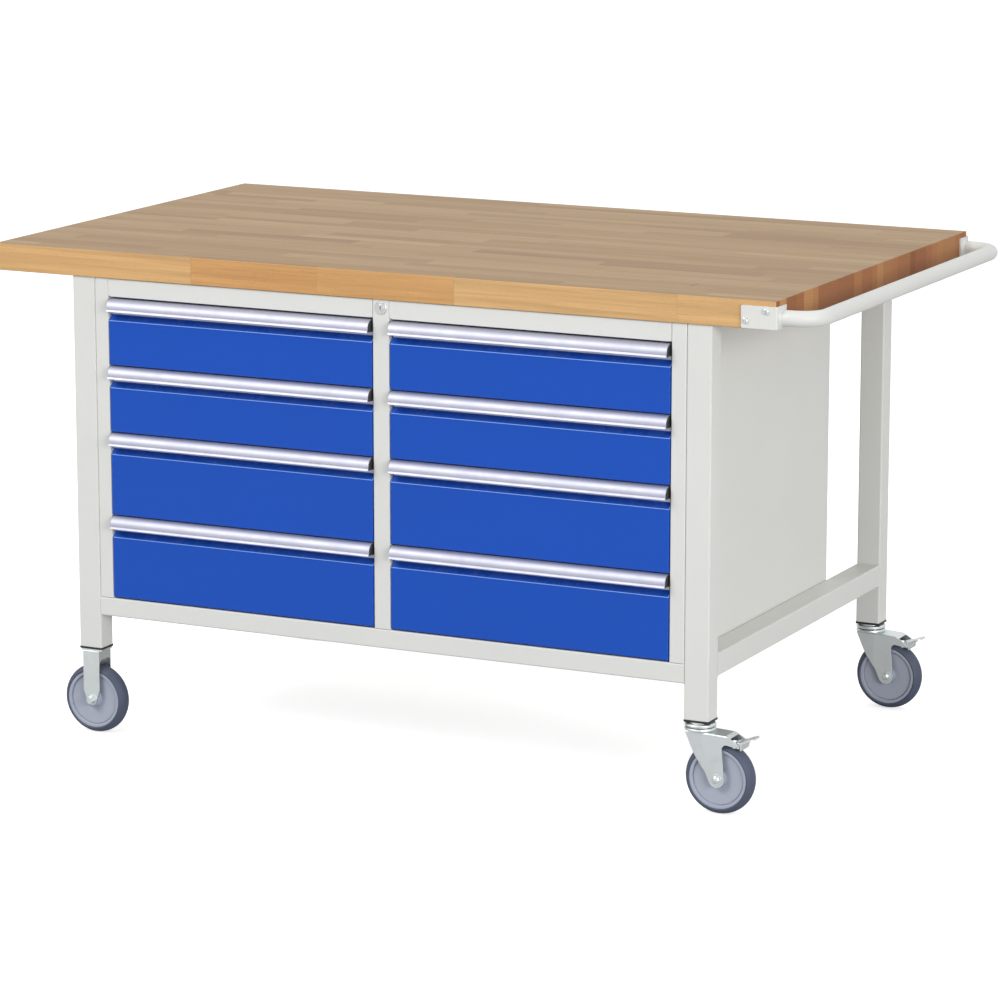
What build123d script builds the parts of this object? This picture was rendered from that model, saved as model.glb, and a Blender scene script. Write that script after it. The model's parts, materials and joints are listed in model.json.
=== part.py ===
from build123d import *
import math
import os

# Mobile workbench with eight drawers. All sizes are in millimetres. +Z is up, the drawers face -Y and
# +X is to the right of a person who stands in front of them. The origin is on the floor, under the
# middle of the whole outline.

# ---- Driving dimensions: worktop and frame -----------------------------------------------------
WORKTOP_LENGTH = 1500.0
WORKTOP_DEPTH = 900.0
WORKTOP_THICKNESS = 48.0
WORKTOP_TOP = 880.0
WORKTOP_EDGE_BREAK = 1.5

FRAME_WIDTH = 1227.0          # over the outer faces of the legs
FRAME_DEPTH = 828.0
LEFT_OVERHANG = 158.5         # worktop past the left legs
FRONT_OVERHANG = 4.0          # worktop past the face of the frame
LEG_WIDTH = 45.0
LEG_DEPTH = 40.0
LEG_BOTTOM = 160.0
TUBE_WALL = 2.0
TUBE_CORNER = 3.0
FRONT_RAIL_TOP = 255.0
FRONT_RAIL_HEIGHT = 34.0
SIDE_RAIL_TOP = 270.0
RAIL_HEIGHT = 40.0

# ---- Driving dimensions: cabinet ---------------------------------------------------------------
SHEET = 1.5
FOLD = 2.0                    # outer radius of the folds in the cabinet's sheet
CABINET_DEPTH = 637.0
STILE_WIDTH = 27.5
STILE_RETURN = 25.0
POST_WIDTH = 32.0
TOP_RAIL_HEIGHT = 33.0
TOP_RAIL_RETURN = 20.0
SEAM = 0.5                    # gap between neighbouring sheets
SIDE_PANEL_BOTTOM = 262.0
UPRIGHT_LENGTH = 40.0

# ---- Driving dimensions: drawers ---------------------------------------------------------------
DRAWER_PITCHES = (120.0, 120.0, 150.0, 150.0)     # from the top drawer down
TOP_DRAWER_GAP = 2.5
FRONT_GAP = 1.5               # round each drawer front
FRONT_PROUD = 1.5             # the fronts stand this far out of the frame's face
PAN_DEPTH = 20.0
PAN_SHEET = 1.2
PAN_EDGE = 1.6                # outer radius of the folds round a drawer front
FOLD_DROP = 39.5              # from a drawer's top line down to the fold in its front
FOLD_RISE = 9.0
FOLD_SETBACK = 11.0
FOLD_RADIUS = 2.0
TRAY_LENGTH = 560.0
TRAY_SHEET = 1.2
TRAY_LIFT = 12.0              # tray floor above the bottom of the drawer's space
TRAY_HEAD_ROOM = 33.0
TRAY_CORNER = 3.0
GRIP_REACH = 15.0             # the grip's lip in front of the frame's face
GRIP_SHEET = 2.0
GRIP_DROP = 22.0              # from a drawer's top line down to the grip's lip
GRIP_TOP_GAP = 0.5
GRIP_BROW = (8.6, 5.0)        # out from the frame's face and down from the grip's top
GRIP_CHEEK = (13.0, 17.0)
GRIP_LEG_DROP = 7.0           # the leg on the pan goes this far below the lip
GRIP_END_GAP = 2.0            # left for the end caps
RUNNER_SPACE = 13.0           # each side, between tray and opening
RUNNER_DEPTH = 10.0
RUNNER_HEIGHT = 35.0
RUNNER_LENGTH = 550.0
RUNNER_SETBACK = 22.0
SLIDE_HEIGHT = 22.0
SLIDE_DEPTH = 8.5
SLIDE_LENGTH = 500.0
RUNNER_LIFT = 48.0            # middle of the runner above the bottom of the drawer's space

# ---- Driving dimensions: lock ------------------------------------------------------------------
LOCK_HEIGHT = 817.0
LOCK_RING_RADIUS = 11.0
LOCK_RING_PROUD = 2.0
LOCK_BODY_RADIUS = 9.0
LOCK_BODY_LENGTH = 26.0
LOCK_PLUG_RADIUS = 6.5
LOCK_CLEARANCE = 0.1
KEY_SLOT = (1.4, 8.0)
BAR_WIDTH = 12.0
BAR_THICKNESS = 3.0
BAR_HOOK_REACH = 13.0

# ---- Driving dimensions: push handle -----------------------------------------------------------
BAR_DIAMETER = 27.0
BAR_WALL = 2.0
BAR_AXIS_REACH = 64.0         # bar's axis past the end of the worktop
BAR_HEIGHT = 851.0
BAR_BEND = 42.0
FLANGE_THICKNESS = 3.0
FLANGE_BOTTOM = 833.0
FLANGE_HEIGHT = 38.0
FLANGE_ALONG_FRONT = 61.0
FLANGE_ALONG_END = 37.0
SCREW_HEAD_RADIUS = 5.5
SCREW_HEAD_HEIGHT = 3.5
SCREW_SHANK_RADIUS = 2.5
SCREW_LENGTH = 35.0
SCREW_PLACES = ((16.7, 862.9), (53.5, 845.6))     # distance in from the worktop's end, height

# ---- Driving dimensions: casters ---------------------------------------------------------------
WHEEL_RADIUS = 62.5
WHEEL_WIDTH = 32.0
TYRE_SIDE_RADIUS = 53.5
RIM_RADIUS = 51.5
RIM_RING_RADIUS = 46.5
RIM_GROOVE = 1.5
RIM_HALF = 14.5
DISC_HALF = 11.0
HUB_RADIUS = 13.0
HUB_HALF = 18.1
AXLE_RADIUS = 5.0
RUNNING_CLEARANCE = 0.08
FORK_INNER = 18.4
FORK_SHEET = 2.5
FORK_OUTER = FORK_INNER + FORK_SHEET
FORK_BEND = 13.0              # the cheeks lean inwards in front of this line
FORK_LEAN = 0.14              # sideways per length
FORK_BEND_RADIUS = 14.0
FORK_CROWN_RADIUS = 2.5
TRAIL = 38.0
PLUG_FLANGE = 3.5
PLUG_PROUD = 0.8
CROWN_TOP = 141.0             # top of a swivel fork's sheet
RACE_TOP = 147.0              # top of the race that turns with the fork
RACE_GAP = 0.6
RACE_RADIUS = 27.0
KINGPIN_RADIUS = 6.0
STEM_TOP = 205.0
PEDAL_PIN_OFFSET = 71.0       # from the swivel axis
PEDAL_PIN_HEIGHT = 124.6
PEDAL_PIN_RADIUS = 2.5
PEDAL_HALF_WIDTH = 16.9
FIXED_FORK_WIDTH = 33.0
FIXED_FORK_TOP = 153.0
FIXED_FORK_ARCH = 136.0

# ---- Places worked out from the driving dimensions ---------------------------------------------
worktop_bottom = WORKTOP_TOP - WORKTOP_THICKNESS
worktop_x = -(BAR_AXIS_REACH + BAR_DIAMETER / 2) / 2
front_reach = GRIP_REACH - FRONT_OVERHANG
rear_reach = FLANGE_THICKNESS + SCREW_HEAD_HEIGHT
worktop_y = (front_reach - rear_reach) / 2
worktop_left = worktop_x - WORKTOP_LENGTH / 2
worktop_right = worktop_x + WORKTOP_LENGTH / 2
worktop_front = worktop_y - WORKTOP_DEPTH / 2
worktop_rear = worktop_y + WORKTOP_DEPTH / 2
frame_left = worktop_left + LEFT_OVERHANG
frame_right = frame_left + FRAME_WIDTH
face = worktop_front + FRONT_OVERHANG
frame_rear = face + FRAME_DEPTH
cabinet_left = frame_left + LEG_WIDTH
cabinet_right = frame_right - LEG_WIDTH
cabinet_rear = face + CABINET_DEPTH
opening_width = (cabinet_right - cabinet_left - 2 * STILE_WIDTH - POST_WIDTH) / 2
left_opening = cabinet_left + STILE_WIDTH
post_left = left_opening + opening_width
right_opening = post_left + POST_WIDTH
post_x = post_left + POST_WIDTH / 2
top_rail_bottom = worktop_bottom - TOP_RAIL_HEIGHT
left_caster_x = frame_left + LEG_WIDTH / 2
right_caster_x = frame_right - LEG_WIDTH / 2
front_caster_y = face + LEG_DEPTH / 2
rear_caster_y = frame_rear - LEG_DEPTH / 2
plug_bottom = LEG_BOTTOM - PLUG_FLANGE


def block(low, high):
    """Return a box between two opposite corners."""
    size = [high[i] - low[i] for i in range(3)]
    middle = [(high[i] + low[i]) / 2 for i in range(3)]
    return Pos(*middle) * Box(*size)


def rod(start, axis, radius, length):
    """Return a round bar from a start point along an axis."""
    return extrude(Plane(start, z_dir=axis) * Circle(radius), length)


def tube(low, high, along):
    """Return a rectangular steel tube between two corners, running along one axis."""
    size = [high[i] - low[i] for i in range(3)]
    middle = Vector(*[(high[i] + low[i]) / 2 for i in range(3)])
    normal = {"x": Vector(1, 0, 0), "y": Vector(0, 1, 0), "z": Vector(0, 0, 1)}[along]
    across = Vector(0, 1, 0) if along == "x" else Vector(1, 0, 0)
    width = size[1] if along == "x" else size[0]
    height = size[1] if along == "z" else size[2]
    length = size["xyz".index(along)]
    outline = RectangleRounded(width, height, TUBE_CORNER)
    hollow = RectangleRounded(width - 2 * TUBE_WALL, height - 2 * TUBE_WALL, TUBE_CORNER - TUBE_WALL)
    plane = Plane(middle - normal * (length / 2), x_dir=across, z_dir=normal)
    return extrude(plane * (outline - hollow), length)


def cone_turned(points, axis_point, axis):
    """Return a turned piece from (distance along the axis, radius) points."""
    profile = make_face(Polyline(*[(radius, along) for along, radius in points], close=True))
    across = Vector(1, 0, 0) if abs(axis[0]) < 0.5 else Vector(0, 1, 0)
    plane = Plane(axis_point, x_dir=across, z_dir=Vector(*axis).cross(across) * -1)
    return revolve(plane * profile, Axis(axis_point, axis))


# ---- Worktop -----------------------------------------------------------------------------------
def screw_spots():
    """Return the head point and inward direction of each push-handle screw."""
    spots = []
    for side, inward in ((worktop_front - FLANGE_THICKNESS, 1), (worktop_rear + FLANGE_THICKNESS, -1)):
        for from_end, height in SCREW_PLACES:
            spots.append(((worktop_right - from_end, side, height), (0, inward, 0)))
    return spots


def worktop():
    slab = block((worktop_left, worktop_front, worktop_bottom), (worktop_right, worktop_rear, WORKTOP_TOP))
    slab = fillet(slab.edges(), WORKTOP_EDGE_BREAK)
    for head, inward in screw_spots():
        slab -= rod(head, inward, SCREW_SHANK_RADIUS, SCREW_LENGTH)
    return slab


# ---- Frame -------------------------------------------------------------------------------------
def leg(x, y):
    return tube((x, y, LEG_BOTTOM), (x + LEG_WIDTH, y + LEG_DEPTH, worktop_bottom), "z")


def leg_pair(y):
    return Compound([leg(frame_left, y), leg(frame_right - LEG_WIDTH, y)])


def front_rail():
    low = (cabinet_left, face, FRONT_RAIL_TOP - FRONT_RAIL_HEIGHT)
    return tube(low, (cabinet_right, face + LEG_DEPTH, FRONT_RAIL_TOP), "x")


def side_rails():
    rails = []
    for x in (frame_left, frame_right - LEG_WIDTH):
        low = (x, face + LEG_DEPTH, SIDE_RAIL_TOP - RAIL_HEIGHT)
        rails.append(tube(low, (x + LEG_WIDTH, frame_rear - LEG_DEPTH, SIDE_RAIL_TOP), "y"))
    return Compound(rails)


def rear_rail():
    low = (cabinet_left, frame_rear - LEG_DEPTH, worktop_bottom - RAIL_HEIGHT)
    return tube(low, (cabinet_right, frame_rear, worktop_bottom), "x")


def leg_plugs():
    """Plastic plugs in the bottom ends of the legs, with a hole for the caster's stem."""
    plugs = []
    for x in (left_caster_x, right_caster_x):
        for y in (front_caster_y, rear_caster_y):
            flange = Box(LEG_WIDTH + 2 * PLUG_PROUD, LEG_DEPTH + 2 * PLUG_PROUD, PLUG_FLANGE)
            flange = Pos(x, y, LEG_BOTTOM - PLUG_FLANGE / 2) * flange
            flange = fillet(flange.edges().filter_by(Axis.Z), TUBE_CORNER)
            inner = Box(LEG_WIDTH - 2 * TUBE_WALL - 0.4, LEG_DEPTH - 2 * TUBE_WALL - 0.4, 24)
            inner = Pos(x, y, LEG_BOTTOM + 12) * inner
            inner = fillet(inner.edges().filter_by(Axis.Z), TUBE_CORNER - TUBE_WALL)
            plugs.append(flange + inner - rod((x, y, plug_bottom - 1), (0, 0, 1), KINGPIN_RADIUS, 40))
    return Compound(plugs)


# ---- Cabinet -----------------------------------------------------------------------------------
def folded_sheet(points, outer_corners, bottom, top):
    """Extrude a plan outline of folded sheet upwards, with rounded outer folds."""
    outline = make_face(Polyline(*points, close=True))
    corners = [v for v in outline.vertices()
               if any((v.X - x) ** 2 + (v.Y - y) ** 2 < 0.01 for x, y in outer_corners)]
    outline = fillet(corners, FOLD)
    return extrude(Plane.XY.offset(bottom) * outline, top - bottom)


def cabinet_side(outer, edge):
    """One side sheet: panel, front stile and return, with the rear upright that carries the runners."""
    turn = 1 if edge > outer else -1
    outer += turn * SEAM
    points = [(outer, cabinet_rear), (outer, face), (edge, face), (edge, face + STILE_RETURN),
              (edge - turn * SHEET, face + STILE_RETURN), (edge - turn * SHEET, face + SHEET),
              (outer + turn * SHEET, face + SHEET), (outer + turn * SHEET, cabinet_rear)]
    top = worktop_bottom - SEAM
    sheet = folded_sheet(points, [(outer, face), (edge, face)], FRONT_RAIL_TOP + SEAM, top)
    foot = block((min(outer, edge) - 5, face + LEG_DEPTH, FRONT_RAIL_TOP - 5),
                 (max(outer, edge) + 5, cabinet_rear + 5, SIDE_PANEL_BOTTOM))
    sheet -= foot
    inner = outer + turn * SHEET
    rear = cabinet_rear - UPRIGHT_LENGTH
    channel = block((min(inner, edge), rear - UPRIGHT_LENGTH, SIDE_PANEL_BOTTOM),
                    (max(inner, edge), rear, top))
    hollow_low = (min(inner, edge - turn * SHEET), rear - UPRIGHT_LENGTH + SHEET, SIDE_PANEL_BOTTOM - 1)
    hollow_high = (max(inner, edge - turn * SHEET), rear - SHEET, top + 1)
    return Compound([sheet, channel - block(hollow_low, hollow_high)])


def cabinet_divider():
    """Double-walled middle post, open at the rear, with the hole for the lock."""
    left = post_left
    right = right_opening
    rear = cabinet_rear - SEAM
    points = [(left, rear), (left, face), (right, face), (right, rear), (right - SHEET, rear),
              (right - SHEET, face + SHEET), (left + SHEET, face + SHEET), (left + SHEET, rear)]
    sheet = folded_sheet(points, [(left, face), (right, face)], FRONT_RAIL_TOP + SEAM, worktop_bottom - SEAM)
    return sheet - rod((post_x, face - 5, LOCK_HEIGHT), (0, 1, 0), LOCK_BODY_RADIUS, 10)


def cabinet_back():
    low = (cabinet_left + SEAM, cabinet_rear, SIDE_PANEL_BOTTOM)
    return block(low, (cabinet_right - SEAM, cabinet_rear + SHEET, worktop_bottom - SEAM))


def cabinet_floor():
    """Floor sheet with a flange turned down at the front rail and at the rear."""
    left = cabinet_left + SEAM + SHEET
    right = cabinet_right - SEAM - SHEET
    front = face + LEG_DEPTH
    rear = cabinet_rear - SEAM
    top = FRONT_RAIL_TOP
    sheet = block((left, front, top - SHEET), (right, rear, top))
    for y in (front, rear - SHEET):
        sheet += block((left, y, top - FRONT_RAIL_HEIGHT / 2), (right, y + SHEET, top))
    return sheet


def cabinet_top_rails():
    """The rails over the drawers: a face with returns at top and bottom, notched at the lower corners."""
    rails = []
    for left in (left_opening, right_opening):
        left += SEAM / 2
        right = left + opening_width - SEAM
        top = worktop_bottom - SEAM
        rail = block((left, face, top_rail_bottom), (right, face + TOP_RAIL_RETURN, top))
        rail = fillet(rail.edges().filter_by(Axis.X).sort_by(Axis.Y)[:2], FOLD - 0.4)
        rail -= block((left - 1, face + SHEET, top_rail_bottom + SHEET), (right + 1, face + 60, top - SHEET))
        for x in (left, right):
            rail -= block((x - 5, face - 1, top_rail_bottom - 1),
                          (x + 5, face + SHEET + 1, top_rail_bottom + 1.5))
        rails.append(rail)
    return Compound(rails)


def drawer_spaces():
    """Yield each drawer's column, number, left edge, bottom and pitch."""
    for column, left in (("left", left_opening), ("right", right_opening)):
        top = top_rail_bottom - TOP_DRAWER_GAP
        for number, pitch in enumerate(DRAWER_PITCHES, start=1):
            yield column, number, left, top - pitch, pitch
            top -= pitch


def cabinet_runners():
    """Channels fixed to the cabinet, one at each side of every drawer."""
    runners = []
    for column, number, left, bottom, pitch in drawer_spaces():
        middle = bottom + RUNNER_LIFT
        right = left + opening_width
        for wall, turn in ((left, 1), (right, -1)):
            web = sorted((wall, wall + turn * SHEET))
            reach = sorted((wall, wall + turn * RUNNER_DEPTH))
            y0 = face + RUNNER_SETBACK
            y1 = y0 + RUNNER_LENGTH
            z0 = middle - RUNNER_HEIGHT / 2
            z1 = middle + RUNNER_HEIGHT / 2
            channel = block((web[0], y0, z0), (web[1], y1, z1))
            channel += block((reach[0], y0, z0), (reach[1], y1, z0 + SHEET))
            channel += block((reach[0], y0, z1 - SHEET), (reach[1], y1, z1))
            runners.append(channel)
    return Compound(runners)


# ---- Drawers -----------------------------------------------------------------------------------
# A drawer's pieces are made at the lower left corner of its opening, with the frame's face at y = 0.
def side_outline(points):
    """Return a face in the YZ plane from (distance in front of the frame's face, height) points."""
    return Plane.YZ * make_face(Polyline(*[(-out, z) for out, z in points], close=True))


def drawer_front(pitch):
    """Folded front pan: flat panel, slanted fold near the top, and returns all round."""
    x0 = FRONT_GAP
    width = opening_width - 2 * FRONT_GAP
    low = FRONT_GAP
    top = pitch - FRONT_GAP
    fold = pitch - FOLD_DROP
    back = FRONT_PROUD - PAN_DEPTH
    recess = FRONT_PROUD - FOLD_SETBACK
    t = PAN_SHEET
    outer = [(FRONT_PROUD, low), (FRONT_PROUD, fold), (recess, fold + FOLD_RISE), (recess, top),
             (back, top), (back, low)]
    slant = t * math.tan(math.radians(22.5))
    inner = [(FRONT_PROUD - t, low + t), (FRONT_PROUD - t, fold - slant),
             (recess - t, fold + FOLD_RISE - slant), (recess - t, top - t), (back - 1, top - t),
             (back - 1, low + t)]
    section = side_outline(outer)
    crease = [v for v in section.vertices() if abs(v.Y + FRONT_PROUD) < 0.01 and abs(v.Z - fold) < 0.01]
    pan = extrude(Pos(x0, 0, 0) * fillet(crease, FOLD_RADIUS), width)
    front_edges = []
    for edge in pan.edges():
        centre = edge.center()
        at_end = min(abs(centre.X - x0), abs(centre.X - x0 - width)) < 0.01
        on_panel = abs(centre.Y + FRONT_PROUD) < 0.01 and centre.Z < fold
        if on_panel and (at_end or centre.Z < low + 0.01):
            front_edges.append(edge)
    pan = fillet(front_edges, PAN_EDGE)
    return pan - extrude(Pos(x0 + t, 0, 0) * side_outline(inner), width - 2 * t)


def drawer_tray(pitch):
    """Open tray with a full-height plate behind the front pan, and its two slides."""
    pan_back = PAN_DEPTH - FRONT_PROUD
    x0 = RUNNER_SPACE
    x1 = opening_width - RUNNER_SPACE
    floor = TRAY_LIFT
    rim = pitch - TRAY_HEAD_ROOM
    t = TRAY_SHEET
    tray = block((x0, pan_back, floor), (x1, pan_back + TRAY_LENGTH, rim))
    tray = fillet(tray.edges().filter_by(Axis.Z), TRAY_CORNER)
    tray += block((FRONT_GAP, pan_back, FRONT_GAP),
                  (opening_width - FRONT_GAP, pan_back + t, pitch - FRONT_GAP))
    hollow = block((x0 + t, pan_back + t, floor + t), (x1 - t, pan_back + TRAY_LENGTH - t, rim + 5))
    tray -= fillet(hollow.edges().filter_by(Axis.Z), TRAY_CORNER - t)
    slides = []
    middle = RUNNER_LIFT
    y0 = RUNNER_SETBACK + 3
    for wall, turn in ((x0, -1), (x1, 1)):
        reach = sorted((wall, wall + turn * SLIDE_DEPTH))
        slide = block((reach[0], y0, middle - SLIDE_HEIGHT / 2),
                      (reach[1], y0 + SLIDE_LENGTH, middle + SLIDE_HEIGHT / 2))
        groove = sorted((wall + turn * SHEET, wall + turn * (SLIDE_DEPTH + 1)))
        slide -= block((groove[0], y0 - 1, middle - SLIDE_HEIGHT / 2 + SHEET),
                       (groove[1], y0 + SLIDE_LENGTH + 1, middle + SLIDE_HEIGHT / 2 - SHEET))
        slides.append(slide)
    return Compound([tray] + slides)


def drawer_grip(pitch):
    """Drawn aluminium strip: a leg on the pan, a top that curls forwards and down, and a flared lip."""
    x0 = FRONT_GAP + GRIP_END_GAP
    width = opening_width - 2 * (FRONT_GAP + GRIP_END_GAP)
    back = FOLD_SETBACK - FRONT_PROUD
    top = pitch - GRIP_TOP_GAP
    lip = pitch - GRIP_DROP
    foot = lip - GRIP_LEG_DROP
    brow = (-GRIP_BROW[0], top - GRIP_BROW[1])
    cheek = (-GRIP_CHEEK[0], top - GRIP_CHEEK[1])
    t = GRIP_SHEET
    inner_brow = (brow[0] + 0.7 * t, brow[1] - 0.7 * t)
    inner_cheek = (cheek[0] + t, cheek[1] - 0.3)
    with BuildSketch(Plane.YZ) as section:
        with BuildLine():
            Polyline((inner_brow[0] + 7.5, top - t), (back - t, top - t), (back - t, foot), (back, foot),
                     (back, top), (0, top))
            ThreePointArc((0, top), brow, cheek)
            Polyline(cheek, (cheek[0] + 0.5, cheek[1] - 0.6), (cheek[0] - 0.3, cheek[1] - 1.1),
                     (-GRIP_REACH, lip), (-GRIP_REACH + 1.5, lip - 0.8), inner_cheek)
            ThreePointArc(inner_cheek, inner_brow, (inner_brow[0] + 7.5, top - t))
        make_face()
    return extrude(Pos(x0, 0, 0) * section.sketch, width)


# ---- Lock --------------------------------------------------------------------------------------
def lock_housing():
    """Ring on the post's face and the round body behind it, bored for the cylinder."""
    front = face - LOCK_RING_PROUD
    points = [(0, 0), (0, LOCK_RING_RADIUS - 0.8), (0.8, LOCK_RING_RADIUS),
              (LOCK_RING_PROUD, LOCK_RING_RADIUS), (LOCK_RING_PROUD, LOCK_BODY_RADIUS),
              (LOCK_BODY_LENGTH, LOCK_BODY_RADIUS), (LOCK_BODY_LENGTH, 0)]
    body = cone_turned(points, (post_x, front, LOCK_HEIGHT), (0, 1, 0))
    bore = LOCK_PLUG_RADIUS + LOCK_CLEARANCE
    return body - rod((post_x, front - 1, LOCK_HEIGHT), (0, 1, 0), bore, LOCK_BODY_LENGTH + 2)


def lock_cylinder():
    """Turning plug with its key slot, and the cam behind it."""
    front = face - LOCK_RING_PROUD - 0.5
    rear = face - LOCK_RING_PROUD + LOCK_BODY_LENGTH + 0.5
    plug = rod((post_x, front, LOCK_HEIGHT), (0, 1, 0), LOCK_PLUG_RADIUS, rear - front)
    plug = fillet(plug.edges().sort_by(Axis.Y)[:1], 0.4)
    plug -= block((post_x - KEY_SLOT[0] / 2, front - 1, LOCK_HEIGHT - KEY_SLOT[1] / 2),
                  (post_x + KEY_SLOT[0] / 2, front + 18, LOCK_HEIGHT + KEY_SLOT[1] / 2))
    cam = block((post_x - 5, rear, LOCK_HEIGHT - 5), (post_x + 5, rear + 2.5, LOCK_HEIGHT + 5))
    cam = fillet(cam.edges().filter_by(Axis.Y), 2)
    return plug + cam


def lock_bar():
    """Upright bar inside the post, with a hook level with each drawer."""
    y0 = face - LOCK_RING_PROUD + LOCK_BODY_LENGTH + 4.0
    y1 = y0 + BAR_THICKNESS
    low = FRONT_RAIL_TOP + 15
    bar = block((post_x - BAR_WIDTH / 2, y0, low), (post_x + BAR_WIDTH / 2, y1, LOCK_HEIGHT - 2))
    for column, number, left, bottom, pitch in drawer_spaces():
        hook = bottom + pitch / 2
        if column == "left":
            bar += block((post_x - BAR_HOOK_REACH, y0, hook), (post_x + BAR_HOOK_REACH, y1, hook + 8))
    return bar


# ---- Push handle -------------------------------------------------------------------------------
def push_handle():
    """Bent round tube welded to a folded flange at each corner of the worktop's end."""
    end = worktop_right + FLANGE_THICKNESS
    bar_x = worktop_right + BAR_AXIS_REACH
    tube_y = WORKTOP_DEPTH / 2 + FLANGE_THICKNESS - FLANGE_ALONG_END / 2 - 1.5
    corners = [(end - 1, worktop_y - tube_y, BAR_HEIGHT), (bar_x, worktop_y - tube_y, BAR_HEIGHT),
               (bar_x, worktop_y + tube_y, BAR_HEIGHT), (end - 1, worktop_y + tube_y, BAR_HEIGHT)]
    path = FilletPolyline(*corners, radius=BAR_BEND)
    ring = Circle(BAR_DIAMETER / 2) - Circle(BAR_DIAMETER / 2 - BAR_WALL)
    handle = sweep(Plane(corners[0], z_dir=(1, 0, 0)) * ring, path)
    top = FLANGE_BOTTOM + FLANGE_HEIGHT
    for side, inward in ((worktop_front - FLANGE_THICKNESS, 1), (worktop_rear + FLANGE_THICKNESS, -1)):
        skin = sorted((side, side + inward * FLANGE_THICKNESS))
        along_end = sorted((side, side + inward * (FLANGE_ALONG_END + FLANGE_THICKNESS)))
        face_plate = block((worktop_right - FLANGE_ALONG_FRONT, skin[0], FLANGE_BOTTOM), (end, skin[1], top))
        end_plate = block((worktop_right, along_end[0], FLANGE_BOTTOM), (end, along_end[1], top))
        folded = face_plate + end_plate
        bend = [e for e in folded.edges().filter_by(Axis.Z)
                if abs(e.center().X - end) < 0.01 and abs(e.center().Y - side) < 0.01]
        folded = fillet(bend, FLANGE_THICKNESS - 0.5)
        corners_x = [e for e in folded.edges().filter_by(Axis.Y)
                     if abs(e.center().X - (worktop_right - FLANGE_ALONG_FRONT)) < 0.01]
        folded = fillet(corners_x, 3)
        for from_end, height in SCREW_PLACES:
            hole = (worktop_right - from_end, side - inward, height)
            folded -= rod(hole, (0, inward, 0), SCREW_SHANK_RADIUS, FLANGE_THICKNESS + 2)
        handle += folded
    return handle


def screws():
    """Pan-head screws that hold the push handle's flanges to the worktop."""
    made = []
    for head, inward in screw_spots():
        x, y, z = head
        radius = SCREW_HEAD_RADIUS
        points = [(-SCREW_HEAD_HEIGHT, 0), (-SCREW_HEAD_HEIGHT, radius - 2.2),
                  (-SCREW_HEAD_HEIGHT + 0.9, radius - 0.7),
                  (-SCREW_HEAD_HEIGHT + 2.2, radius), (0, radius), (0, SCREW_SHANK_RADIUS),
                  (SCREW_LENGTH - 3, SCREW_SHANK_RADIUS), (SCREW_LENGTH, 0)]
        turned = cone_turned(points, head, inward)
        for across in ((3.2, 0.45), (0.45, 3.2)):
            depth = sorted((y - inward[1] * (SCREW_HEAD_HEIGHT + 1),
                            y - inward[1] * (SCREW_HEAD_HEIGHT - 1.6)))
            turned -= block((x - across[0], depth[0], z - across[1]),
                            (x + across[0], depth[1], z + across[1]))
        made.append(turned)
    return Compound(made)


# ---- Casters -----------------------------------------------------------------------------------
# Wheels and axles are made round the axle's middle; forks and pedals over the floor under the leg.
def wheel_hub():
    """Moulded wheel centre: hub, dished disc, groove and rim ring."""
    half = [(HUB_HALF, AXLE_RADIUS + RUNNING_CLEARANCE), (HUB_HALF, HUB_RADIUS - 1),
            (HUB_HALF - 1, HUB_RADIUS), (DISC_HALF - 2.5, HUB_RADIUS + 2),
            (DISC_HALF - 1, HUB_RADIUS + 12), (DISC_HALF, RIM_RING_RADIUS - 3),
            (DISC_HALF, RIM_RING_RADIUS - RIM_GROOVE), (DISC_HALF - 1.2, RIM_RING_RADIUS - RIM_GROOVE / 2),
            (RIM_HALF - 0.6, RIM_RING_RADIUS), (RIM_HALF, RIM_RING_RADIUS + 0.8), (RIM_HALF, RIM_RADIUS)]
    points = half + [(-along, radius) for along, radius in reversed(half)]
    return cone_turned(points, (0, 0, 0), (0, 1, 0))


def wheel_tyre():
    """Crowned rubber tyre on the rim."""
    half = WHEEL_WIDTH / 2
    with BuildSketch(Plane.YZ) as section:
        with BuildLine():
            Line((-RIM_HALF, RIM_RADIUS), (RIM_HALF, RIM_RADIUS))
            Line((RIM_HALF, RIM_RADIUS), (half, TYRE_SIDE_RADIUS))
            ThreePointArc((half, TYRE_SIDE_RADIUS), (0, WHEEL_RADIUS), (-half, TYRE_SIDE_RADIUS))
            Line((-half, TYRE_SIDE_RADIUS), (-RIM_HALF, RIM_RADIUS))
        make_face()
    return revolve(section.sketch, Axis.Y)


def fork_plan(half):
    """Solid with the fork's outline from above: straight behind the bend and leaning inwards before it."""
    nose = half - FORK_LEAN * (FORK_BEND + 60)
    outline = Polyline((-60, -nose), (FORK_BEND, -half), (95, -half), (95, half), (FORK_BEND, half),
                       (-60, nose), close=True)
    face = make_face(outline.edges())
    return extrude(fillet([v for v in face.vertices() if abs(v.X - FORK_BEND) < 0.01], FORK_BEND_RADIUS), 200)


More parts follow.
